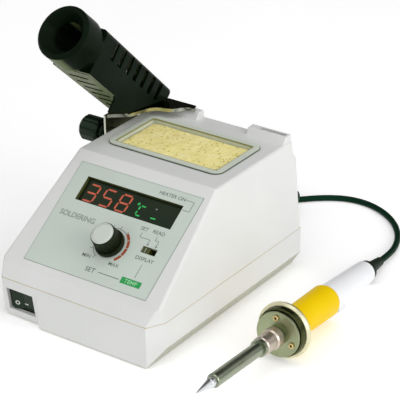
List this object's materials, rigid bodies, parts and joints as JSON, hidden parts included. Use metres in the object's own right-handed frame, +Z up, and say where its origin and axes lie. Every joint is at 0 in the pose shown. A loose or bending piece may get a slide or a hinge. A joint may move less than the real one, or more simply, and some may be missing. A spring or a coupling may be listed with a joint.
{
  "type": "soldering iron station",
  "caption": "Bench soldering station with sloped control panel, sponge tray, tilting slotted iron holder and a corded soldering iron with a round guard",
  "frame": {"origin": "bottom centre of the bounding box of the station, its holder and the iron, on the bench plane under the feet; the lead behind them is not counted", "axes": "+X to the user's right, +Y from the front to the rear panel, +Z up"},
  "size_m": [0.2076, 0.2847, 0.1763],
  "materials": {
    "shell_plastic": "fine texture",
    "overlay_film": "satin printed film",
    "window_plastic": "smoked",
    "digit_plastic": "smooth",
    "board_laminate": "satin",
    "black_plastic": "satin",
    "cap_plastic": "satin",
    "dark_plastic": "satin",
    "white_plastic": "satin",
    "grip_rubber": "satin",
    "black_rubber": "matte",
    "cord_rubber": "satin",
    "sponge_foam": "open cell sponge",
    "chromed_steel": "polished",
    "zinc_steel": "zinc plated",
    "holder_plastic": "satin",
    "tip_plating": "plated",
    "barrel_steel": "drawn",
    "nut_steel": "satin",
    "cup_brass": "satin",
    "core_steel": "laminated",
    "winding_tape": "taped",
    "pin_brass": "plated",
    "sink_aluminium": "extruded",
    "can_aluminium": "sleeved",
    "heater_ceramic": "ceramic"
  },
  "bodies": {
    "station": {"upper_shell": "shell_plastic", "lower_shell": "shell_plastic", "rubber_feet": "black_rubber", "case_screws": "zinc_steel", "panel_overlay": "overlay_film", "display_window": "window_plastic", "display_digits": "digit_plastic", "main_board": "board_laminate", "board_spacers": "white_plastic", "potentiometer": "dark_plastic", "display_switch_body": "dark_plastic", "power_switch_housing": "black_plastic", "transformer_core": "core_steel", "transformer_winding": "winding_tape", "power_board": "board_laminate", "power_board_standoffs": "white_plastic", "filter_capacitors": "can_aluminium", "heat_sink": "sink_aluminium", "mains_inlet": "black_plastic", "inlet_pins": "pin_brass", "fuse_holder": "black_plastic", "fuse_link": "zinc_steel", "iron_socket": "zinc_steel", "iron_tip": "tip_plating", "iron_barrel": "barrel_steel", "heater_element": "heater_ceramic", "guard_disc": "barrel_steel", "guard_rivets": "zinc_steel", "guard_gasket": "black_rubber", "guard_cup": "cup_brass", "guard_rim": "tip_plating", "iron_grip": "grip_rubber", "iron_handle": "white_plastic", "handle_lug": "white_plastic", "iron_boot": "black_rubber", "iron_plug": "black_plastic", "plug_ring": "zinc_steel", "plug_boot": "black_rubber", "plug_lead": "cord_rubber", "cord_coil": "cord_rubber", "cord_tie": "black_plastic", "iron_lead": "cord_rubber"},
    "temp_control": {"temp_knob": "black_plastic", "knob_cap": "cap_plastic", "control_shaft": "zinc_steel"},
    "display_switch": {"display_switch_button": "black_plastic"},
    "power_switch": {"power_rocker": "black_plastic"},
    "tray": {"sponge_tray": "cap_plastic"},
    "sponge": {"sponge": "sponge_foam"},
    "holder_mount": {"holder_bracket": "chromed_steel", "clamp_nut": "zinc_steel"},
    "holder": {"holder_body": "holder_plastic", "holder_left_plate": "holder_plastic", "holder_right_plate": "holder_plastic", "holder_funnel": "black_plastic", "holder_spring": "zinc_steel"},
    "clamp": {"clamp_knob": "black_plastic", "clamp_screw": "zinc_steel"},
    "fuse_cap": {"fuse_cap": "black_plastic"},
    "tip_nut": {"barrel_nut": "nut_steel"}
  },
  "joints": [
    {"name": "temp_knob_turn", "type": "hinge", "parent": "station", "child": "temp_control", "pos_m": [-0.01811, -0.03843, 0.0531], "axis": [0, -0.5693, 0.8221], "range_deg": [-100, 200]},
    {"name": "display_switch_slide", "type": "slide", "parent": "station", "child": "display_switch", "axis": [1, 0, 0], "range_m": [0, 0.0049]},
    {"name": "power_rocker_rock", "type": "hinge", "parent": "station", "child": "power_switch", "pos_m": [-0.06511, -0.06142, 0.01371], "axis": [0, -0.1351, 0.9908], "range_deg": [-16, 0]},
    {"name": "tray_lift", "type": "slide", "parent": "station", "child": "tray", "axis": [0, 0, 1], "range_m": [0, 0.003]},
    {"name": "sponge_lift", "type": "slide", "parent": "tray", "child": "sponge", "axis": [0, 0, 1], "range_m": [0, 0.003]},
    {"name": "holder_unhook", "type": "slide", "parent": "station", "child": "holder_mount", "axis": [0, 0, 1], "range_m": [0, 0.012]},
    {"name": "holder_tilt", "type": "hinge", "parent": "holder_mount", "child": "holder", "pos_m": [-0.08381, 0.04606, 0.0751], "axis": [1, 0, 0], "range_deg": [0, 25]},
    {"name": "clamp_turn", "type": "hinge", "parent": "holder_mount", "child": "clamp", "pos_m": [-0.09381, 0.04606, 0.0751], "axis": [1, 0, 0], "range_deg": [-180, 0]},
    {"name": "fuse_cap_turn", "type": "hinge", "parent": "station", "child": "fuse_cap", "pos_m": [-0.02281, 0.08226, 0.0142], "axis": [0, 1, 0], "range_deg": [0, 90]},
    {"name": "tip_nut_turn", "type": "hinge", "parent": "station", "child": "tip_nut", "pos_m": [0.08778, -0.03146, 0.01907], "axis": [-0.0608, 0.9933, -0.0988], "range_deg": [-180, 0]}
  ]
}
